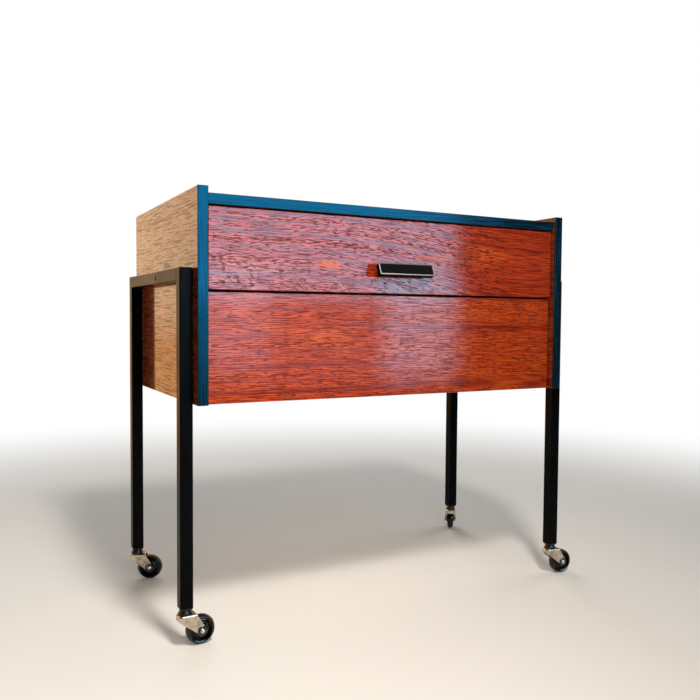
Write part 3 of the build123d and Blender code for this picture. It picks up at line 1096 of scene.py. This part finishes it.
@dataclass
class Drawers:
    """The two drawers: veneered fronts on beech boxes."""

    upper_figure: Figure = Figure(
        heart=0.36, arch_start=-0.22, arch_end=0.20, arch_rise=130 * MM, dash_share=0.9,
        fleck_end=-0.09, fleck_top=0.512,
        warm_spots=(WarmSpot(0.060, 0.513, 0.055, 0.003), WarmSpot(-0.113, 0.498, 0.024, 0.008)),
    )
    lower_figure: Figure = Figure(
        heart=0.190, arch_start=-0.3, arch_end=0.3, arch_rise=40 * MM, drift=14 * MM, dash_share=0.7,
    )

    def dress(self) -> None:
        """Finish the fronts, the boxes and the dividers."""
        across = GrainRun.ACROSS_FRONT
        deep = (paint(184, 64, 22), paint(151, 45, 15), paint(94, 21, 8))
        upper = TeakVeneer("upper_front_veneer", across, self.upper_figure, 12.0, 0.9 * MM, *deep)
        lower = TeakVeneer("lower_front_veneer", across, self.lower_figure, 40.0, 0.35 * MM)
        upper.dress("upper_drawer_front")
        lower.dress("lower_drawer_front")
        boards = beech("beech_cross", across, 4.0)
        sides = beech("beech_side", GrainRun.ALONG_SIDE, 7.0)
        floors = birch("birch_floor", GrainRun.OVER_TOP, 9.0)
        for level in LEVELS:
            sides.dress(*(f"{level}_drawer_{side.value}_side" for side in Side))
            boards.dress(f"{level}_drawer_back")
            floors.dress(f"{level}_drawer_floor")
        boards.dress("upper_drawer_long_divider")
        sides.dress("upper_drawer_cross_dividers")


@dataclass
class Handle:
    """The tilted bar handle: a black bar with a bright trim round its face."""

    trim_shade_depth: float = 1.7 * MM

    def dress(self) -> None:
        """Finish the bar, its trim, its posts and its screws."""
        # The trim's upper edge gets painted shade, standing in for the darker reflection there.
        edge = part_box("handle_trim")[1].z - self.trim_shade_depth
        bright = (paint(178, 176, 171), paint(142, 142, 140))
        DrawnMetal("bright_trim", *bright, roughness=0.3, rim_shade_painted_above=edge).dress("handle_trim")
        black = (paint(6, 6, 7), paint(16, 16, 18))
        gloss = Coating("handle_gloss", *black, roughness=0.16, coat=0.0, swell=0.03, gloss=0.05)
        gloss.dress("handle_bar", "handle_posts")
        steel = (paint(190, 188, 182), paint(140, 134, 124))
        BareMetal("handle_screw_steel", *steel, roughness=0.3, bloom_share=0.5).dress("handle_screws")


@dataclass
class LegFrames:
    """The two frames of black square tube, each with a slotted screw in its bar."""

    screw_y: float = -31 * MM
    screw: SlottedHead = SlottedHead(
        radius=3.6 * MM, rise=0.9 * MM, slot_width=1.2 * MM, slot_depth=0.7 * MM,
    )

    BLACK = Coating(
        "satin_black_paint", paint(4, 4, 5), paint(12, 12, 13),
        roughness=0.3, coat=0.0, swell=0.1, gloss=0.04,
    )

    def build(self) -> None:
        """Set a slotted screw in the outer face of each bar."""
        head = self.screw.build("bar_screw")
        level_slot = Matrix.Rotation(math.radians(90), 4, "X")
        for side in Side:
            low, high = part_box(f"{side.value}_frame_bar")
            face = high.x if side is Side.RIGHT else low.x
            outwards = Matrix.Rotation(side.sign * math.radians(90), 4, "Y")
            place = Matrix.Translation((face, self.screw_y, (low.z + high.z) / 2))
            piece = Bench.copy(head, f"{side.value}_bar_screw", place @ level_slot @ outwards)
            self.BLACK.cover(piece)
            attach(piece, "cabinet")
            log.info("built %s", piece.name)
        bpy.data.objects.remove(head)

    def dress(self) -> None:
        """Finish the tubes, the washers, the screws and the plugs."""
        for side in Side:
            self.BLACK.dress(*(f"{side.value}_{tube}" for tube in ("front_leg", "rear_leg", "frame_bar")))
        self.BLACK.dress("frame_spacers")
        steel = (paint(186, 184, 178), paint(132, 124, 112))
        BareMetal("frame_screw_steel", *steel, roughness=0.32, bloom_share=0.5).dress("frame_screws")
        black = (paint(14, 14, 15), paint(36, 35, 34))
        Coating("plug_moulding", *black, roughness=0.5, coat=0.0, swell=0.12).dress("leg_plugs")


@dataclass
class Castor:
    """One swivel castor: plated fork with painted shade on its top, dark stem, bright axle, hub caps and
    black wheel.
    """

    corner: Corner
    fork_shade_inset: float = 0.6 * MM

    def dress(self) -> None:
        """Finish the castor's pieces."""
        name = f"{self.corner.value}_castor"
        low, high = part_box(f"{name}_wheel")
        # The fork's top plate gets painted shade, for the dark leg and collar that it mirrors.
        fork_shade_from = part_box(f"{name}_fork")[1].z - self.fork_shade_inset
        finishes = {
            "fork": BareMetal(
                "zinc_plate", paint(200, 188, 168), paint(128, 110, 86), roughness=0.22, bloom_share=0.6,
                top_shade_painted_above=fork_shade_from,
            ),
            "stem": BareMetal(
                "dark_stem_steel", paint(58, 58, 60), paint(34, 32, 30), roughness=0.3, bloom_share=0.6,
            ),
            "axle": BareMetal(
                "rivet_steel", paint(220, 214, 204), paint(170, 158, 138), roughness=0.2, bloom_share=0.4,
            ),
            "caps": Coating(
                "hub_cap_moulding", paint(17, 15, 14), paint(44, 40, 36),
                roughness=0.3, coat=0.2, swell=0.08,
            ),
            "wheel": WheelBlack(f"{self.corner.value}_wheel_black", tuple((low + high) / 2)),
        }
        for piece, finish in finishes.items():
            finish.dress(f"{name}_{piece}")


@dataclass
class SoftBox:
    """A flat lamp given by its middle, its size and what it points at."""

    name: str
    middle: Point
    target: Point
    width: float
    height: float
    watts: float
    colour: Colour = WHITE
    mirror_only: bool = False
    soft_edge: float = 0.0
    glare: bool = True

    def build(self) -> None:
        """Hang the lamp."""
        lamp = bpy.data.lights.new(self.name, "AREA")
        lamp.shape = "RECTANGLE"
        lamp.size = self.width
        lamp.size_y = self.height
        lamp.energy = self.watts
        lamp.color = self.colour
        if self.soft_edge:
            self.soften(lamp)
        holder = bpy.data.objects.new(self.name, lamp)
        holder.location = self.middle
        holder.rotation_mode = "QUATERNION"
        direction = Vector(self.target) - Vector(self.middle)
        holder.rotation_quaternion = direction.to_track_quat("-Z", "Y")
        holder.visible_camera = False
        holder.visible_glossy = self.glare
        if self.mirror_only:
            holder.visible_diffuse = False
            holder.visible_transmission = False
        bpy.context.scene.collection.objects.link(holder)
        log.info("hung %s", self.name)

    def soften(self, lamp: bpy.types.Light) -> None:
        """Dim the lamp's face towards its edges.

        Args:
            lamp: the lamp.
        """
        lamp.use_nodes = True
        graph = Graph(lamp.node_tree)
        across, down, _ = graph.parts(graph.node("ShaderNodeNewGeometry").outputs["Parametric"])
        edges = []
        for share in (across, down):
            inset = graph.math("MINIMUM", share, 1 - share)
            edges.append(graph.ramp(inset, 0.0, self.soft_edge))
        face = graph.node("ShaderNodeEmission", None, {"Color": WHITE, "Strength": edges[0] * edges[1]})
        graph.node("ShaderNodeOutputLight", None, {"Surface": face.outputs[0]})


@dataclass
class Studio:
    """The pale floor, the lamps, the surroundings and the camera."""

    floor_reach: float = 12.0
    floor_segments: int = 96
    floor_colour: Colour = paint(232, 230, 226)
    paper: Grain = Grain(3, 3, 1, detail=2)
    paper_depth: float = 0.04
    fade: Span = (0.8, 2.0)
    behind: Span = (-0.15, 0.45)
    horizon: Span = (-0.06, 0.03)
    ambient: Colour = (0.13, 0.1287, 0.1261)
    room_dim: Colour = (0.03, 0.03, 0.035)
    room_pale: Colour = (1.82, 1.18, 0.67)
    floor_mirrored: Colour = (1.65, 0.78, 0.29)
    pane_y: float = -2.167
    window_light: Colour = (0.36, 0.70, 1.0)
    warm_light: Colour = (1.0, 0.93, 0.84)
    camera_place: Point = (-0.5694, -1.0863, 0.426)
    camera_yaw: float = math.radians(27.97)
    camera_pitch: float = math.radians(2.5)
    camera_roll: float = math.radians(0.41)
    camera_clip: Span = (0.01, 100.0)
    focal_pixels: float = 748.7
    image_pixels: float = 700.0
    sensor: float = 36.0

    def build(self) -> None:
        """Set up everything around the cabinet."""
        bpy.context.scene.view_settings.view_transform = "Standard"
        self.lay_floor()
        self.light_room()
        self.hang_lamps()
        self.set_camera()

    def lay_floor(self) -> None:
        """Lay a pale floor that fades to white away from the cabinet."""
        Bench.deselect()
        bpy.ops.mesh.primitive_circle_add(
            vertices=self.floor_segments, radius=self.floor_reach, fill_type="NGON",
        )
        floor = Bench.named("floor")
        floor.data.materials.append(self.floor_paper())

    def floor_paper(self) -> Material:
        """Make the floor's matt paper, which keeps the cabinet's shadow.

        Returns:
            The material.
        """
        material = bpy.data.materials.new("floor_paper")
        material.use_nodes = True
        graph = Graph(material.node_tree)
        place = graph.place()
        x, y, _ = place
        distance = graph.math("SQRT", x * x + y * y)
        paper = self.paper.read(place) * self.paper_depth + (1 - self.paper_depth)
        shade = graph.mix(1.0, self.floor_colour, graph.vector(paper, paper, paper), "MULTIPLY")
        matt = graph.node("ShaderNodeBsdfDiffuse", None, {"Color": shade})
        rays = graph.node("ShaderNodeLightPath")
        mirrored = graph.mix(graph.ramp(y / distance, *self.behind), self.room_dim, self.floor_mirrored)
        shown = graph.mix(graph.seen_by(rays, "Glossy"), WHITE, mirrored)
        glow = graph.node("ShaderNodeEmission", None, {"Color": shown, "Strength": 1.0})
        far = graph.ramp(distance, *self.fade) * graph.seen_by(rays, "Camera", "Glossy", "Transmission")
        blend = graph.node("ShaderNodeMixShader", None, {0: far, 1: matt.outputs[0], 2: glow.outputs[0]})
        graph.node("ShaderNodeOutputMaterial", None, {"Surface": blend.outputs[0]})
        return material

    def light_room(self) -> None:
        """Light the room: white to the camera, pale behind and dim in front in reflections."""
        world = bpy.data.worlds.new("studio")
        world.use_nodes = True
        bpy.context.scene.world = world
        graph = Graph(world.node_tree)
        _, y, z = graph.parts(graph.node("ShaderNodeTexCoord").outputs["Generated"])
        pale = graph.mix(graph.ramp(z, *self.horizon), self.floor_mirrored, self.room_pale)
        mirrored = graph.mix(graph.ramp(y, *self.behind), self.room_dim, pale)
        rays = graph.node("ShaderNodeLightPath")
        shown = graph.mix(graph.seen_by(rays, "Glossy"), self.ambient, mirrored)
        shown = graph.mix(graph.seen_by(rays, "Camera", "Transmission"), shown, WHITE)
        sky = graph.node("ShaderNodeBackground", None, {"Color": shown, "Strength": 1.0})
        graph.node("ShaderNodeOutputWorld", None, {"Surface": sky.outputs[0]})

    def hang_lamps(self) -> None:
        """Hang the soft lamps, the cards and the cool window panes that the varnish mirrors."""
        middle = (0, 0, 0.35)
        left = (-1.7, 0.0, 0.5)
        corner = (-0.3, -0.165, 0.5)
        handle = (0, -0.186, 0.4945)
        wheels = (-0.1, -0.1, 0.02)
        lamps = [
            SoftBox("key_lamp", (-0.2, -1.0, 1.6), left, 0.3, 0.3, watts=33, colour=self.warm_light),
            SoftBox(
                "left_fill", (-0.3, -0.95, 0.6), corner, 0.6, 0.6, watts=4.2, colour=self.warm_light,
                glare=False,
            ),
            SoftBox("right_fill", (2.2, 0.3, 1.2), middle, 1.2, 1.2, watts=12, glare=False),
            SoftBox("rear_fill", (0.4, 2.2, 1.6), middle, 1.4, 1.4, watts=22, glare=False),
            SoftBox("trim_card", (0.85, -1.06, 1.55), handle, 0.5, 0.5, watts=0.9, mirror_only=True),
            SoftBox("wheel_card", (0.1, -1.2, 1.3), wheels, 0.9, 0.6, watts=8, mirror_only=True),
            self.pane("wide_pane", 0.00, (0.79, 0.855), (1.66, 0.77), watts=31.5, edge=0.1),
            self.pane("low_pane", 0.01, (0.77, 0.33), (1.62, 0.60), watts=4.5, edge=0.3),
            self.pane("left_pane", 0.02, (0.42, 0.43), (0.50, 0.60), watts=2.6, edge=0.3),
            self.pane("right_pane", 0.03, (1.34, 0.36), (0.56, 0.60), watts=5.8, edge=0.3),
        ]
        for lamp in lamps:
            lamp.build()

    def pane(
        self, name: str, nearer: float, middle: Span, size: Span, watts: float, edge: float,
    ) -> SoftBox:
        """Make a window pane in front of the cabinet, which shows only in its gloss.

        Args:
            name: the pane's name.
            nearer: how much nearer to the cabinet it hangs than the first pane.
            middle: the pane's middle, as x and z.
            size: its width and height.
            watts: its power.
            edge: how far its soft edge reaches in, as a share of its size.

        Returns:
            The pane, ready to hang.
        """
        x, z = middle
        place = (x, self.pane_y + nearer, z)
        light = self.window_light
        return SoftBox(name, place, (x, 0, z), *size, watts, light, mirror_only=True, soft_edge=edge)

    def set_camera(self) -> None:
        """Stand the camera where the photograph was taken from."""
        lens = bpy.data.cameras.new("camera")
        lens.sensor_width = self.sensor
        lens.lens = self.focal_pixels * self.sensor / self.image_pixels
        lens.clip_start, lens.clip_end = self.camera_clip
        yaw, pitch, roll = self.camera_yaw, self.camera_pitch, self.camera_roll
        forward = Vector((
            math.sin(yaw) * math.cos(pitch), math.cos(yaw) * math.cos(pitch), -math.sin(pitch),
        ))
        level = Vector((math.cos(yaw), -math.sin(yaw), 0))
        upright = level.cross(forward)
        right = level * math.cos(roll) + upright * math.sin(roll)
        up = upright * math.cos(roll) - level * math.sin(roll)
        turn = Matrix((right, up, -forward)).transposed()
        camera = bpy.data.objects.new("camera", lens)
        camera.matrix_world = Matrix.Translation(self.camera_place) @ turn.to_4x4()
        bpy.context.scene.collection.objects.link(camera)
        bpy.context.scene.camera = camera


def main() -> None:
    """Build and dress the cabinet, then set up the studio around it."""
    logging.basicConfig(level=logging.INFO, format="%(name)s: %(message)s")
    case = Case()
    case.build()
    case.dress()
    Drawers().dress()
    Handle().dress()
    frames = LegFrames()
    frames.build()
    frames.dress()
    for corner in Corner:
        Castor(corner).dress()
    Studio().build()


if __name__ == "__main__":
    main()
